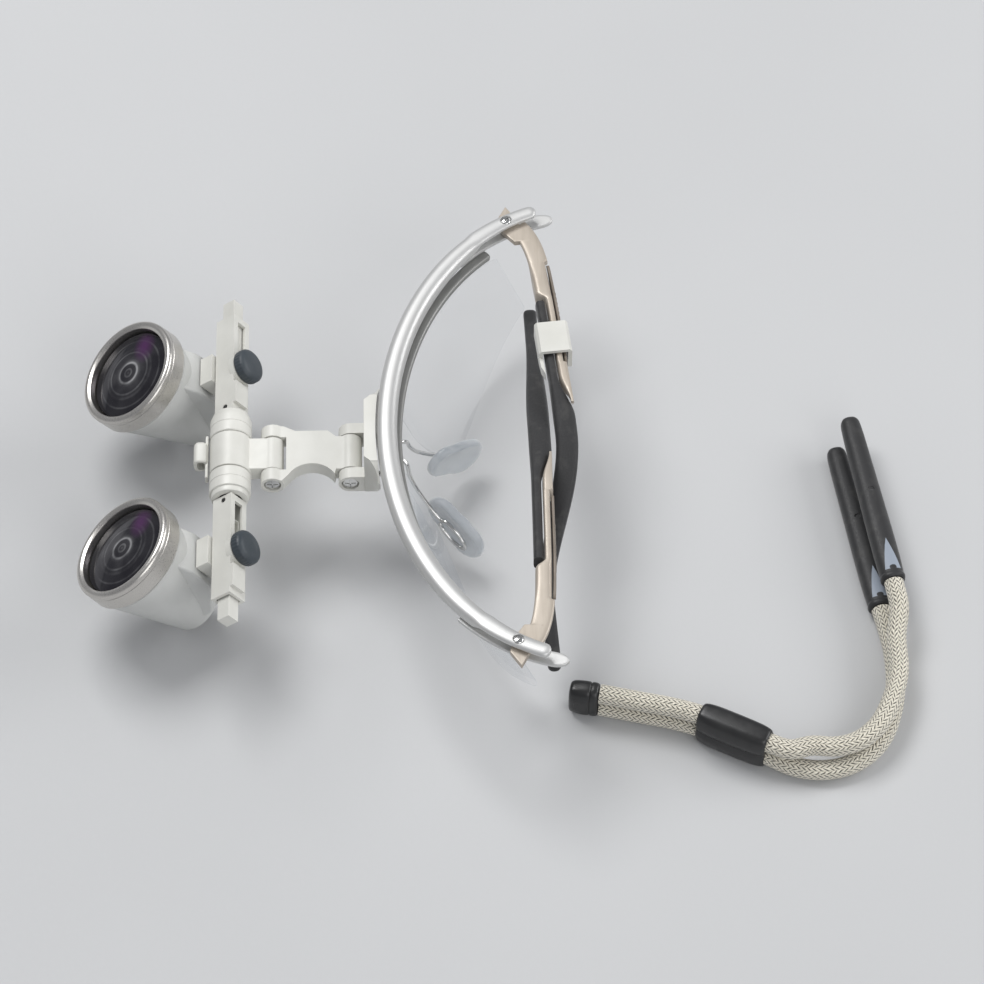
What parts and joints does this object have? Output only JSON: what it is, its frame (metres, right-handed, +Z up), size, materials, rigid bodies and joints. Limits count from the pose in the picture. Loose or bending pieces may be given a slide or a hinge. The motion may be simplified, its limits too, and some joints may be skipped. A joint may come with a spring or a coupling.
{
  "type": "dental loupes",
  "caption": "Magnifying loupes: flip-up telescopes on a sliding pupil-distance bar, link arm and bracket, on a wrap-round frame with folding temples; a braided cord lies beside.",
  "frame": {"origin": "middle of the underside of the loupes' box, without the cord, on the surface they stand on", "axes": "+Z up, -Y the way the wearer looks, +X towards the wearer's left"},
  "size_m": [0.1608, 0.2171, 0.0437],
  "materials": {
    "satin_metal": "satin, finely brushed",
    "dark_satin": "satin",
    "chrome": "polished",
    "white_polymer": "satin moulded",
    "grey_polymer": "satin moulded",
    "slate_knob": "fine-grained",
    "taupe": "satin lacquer",
    "taupe_inlay": "satin",
    "soft_rubber": "matt",
    "clear_lens": "clear, hard-coated",
    "silicone": "soft, translucent",
    "coated_glass": "coated",
    "black_part": "matt",
    "braid": "braided, flecked with black"
  },
  "bodies": {
    "frame": {"brow_bar": "satin_metal", "under_rail": "dark_satin", "fork_lug_right": "satin_metal", "fork_lug_left": "satin_metal", "lens_right": "clear_lens", "lens_left": "clear_lens", "hinge_screw_right": "chrome", "hinge_screw_left": "chrome", "nose_bridge": "chrome", "bridge_screw_right": "chrome", "bridge_screw_left": "chrome", "nose_arm_right": "chrome", "nose_arm_left": "chrome", "nose_pad_right": "silicone", "nose_pad_left": "silicone", "mount_bracket": "white_polymer", "bracket_pin": "chrome", "cord_lower": "braid", "cord_upper": "braid", "cord_slider": "black_part", "cord_end_ferrule": "black_part", "cord_sleeve_lower": "soft_rubber", "cord_sleeve_upper": "soft_rubber"},
    "temple_right": {"temple_arm_right": "taupe", "temple_tip_right": "soft_rubber", "temple_inlay_right": "taupe_inlay", "temple_clip": "white_polymer"},
    "temple_left": {"temple_arm_left": "taupe", "temple_tip_left": "soft_rubber", "temple_inlay_left": "taupe_inlay"},
    "link": {"link_arm": "white_polymer", "front_pin": "chrome"},
    "head": {"pivot_block": "white_polymer"},
    "optics": {"swing_axle": "black_part", "barrel_sleeve_right": "white_polymer", "barrel_sleeve_left": "white_polymer", "lever_socket": "white_polymer", "rail_right": "white_polymer", "rail_left": "white_polymer", "set_screw_right": "black_part", "set_screw_left": "black_part"},
    "knob_right": {"knob_right": "slate_knob"},
    "knob_left": {"knob_left": "slate_knob"},
    "telescope_right": {"slider_right": "white_polymer", "housing_right": "grey_polymer", "bezel_right": "satin_metal", "objective_right": "coated_glass", "baffle_right": "black_part", "eyepiece_ring_right": "black_part", "eyepiece_right": "coated_glass"},
    "telescope_left": {"slider_left": "white_polymer", "housing_left": "grey_polymer", "bezel_left": "satin_metal", "objective_left": "coated_glass", "baffle_left": "black_part", "eyepiece_ring_left": "black_part", "eyepiece_left": "coated_glass"}
  },
  "joints": [
    {"name": "temple_right_fold", "type": "hinge", "parent": "frame", "child": "temple_right", "pos_m": [-0.0685, 0.0483, 0.0386], "axis": [0, 0, 1], "range_deg": [0, 88]},
    {"name": "temple_left_fold", "type": "hinge", "parent": "frame", "child": "temple_left", "pos_m": [0.0685, 0.0483, 0.0386], "axis": [0, 0, -1], "range_deg": [0, 78]},
    {"name": "link_tilt", "type": "hinge", "parent": "frame", "child": "link", "pos_m": [0, 0.0058, 0.0295], "axis": [1, 0, 0], "range_deg": [-15, 30]},
    {"name": "head_tilt", "type": "hinge", "parent": "link", "child": "head", "pos_m": [0, -0.0146, 0.0295], "axis": [1, 0, 0], "range_deg": [-20, 20]},
    {"name": "optics_flip", "type": "hinge", "parent": "head", "child": "optics", "pos_m": [0, -0.0257, 0.0295], "axis": [1, 0, 0], "range_deg": [-10, 75]},
    {"name": "pupil_slide_right", "type": "slide", "parent": "optics", "child": "telescope_right", "axis": [-1, 0, 0], "range_m": [-0.001, 0.009]},
    {"name": "pupil_slide_left", "type": "slide", "parent": "optics", "child": "telescope_left", "axis": [1, 0, 0], "range_m": [-0.001, 0.009]},
    {"name": "knob_right_turn", "type": "hinge", "parent": "optics", "child": "knob_right", "pos_m": [-0.0281, -0.0257, 0.0295], "axis": [0, 0.7976, 0.6032], "range_deg": [-45, 350]},
    {"name": "knob_left_turn", "type": "hinge", "parent": "optics", "child": "knob_left", "pos_m": [0.0313, -0.0257, 0.0295], "axis": [0, 0.7976, 0.6032], "range_deg": [-350, 45]}
  ],
  "couplings": [
    {"joint": "temple_left_fold", "follows": "temple_right_fold", "ratio": 0.88},
    {"joint": "knob_right_turn", "follows": "pupil_slide_right", "rad_per_m": 666.7},
    {"joint": "knob_left_turn", "follows": "pupil_slide_left", "rad_per_m": -666.7}
  ]
}
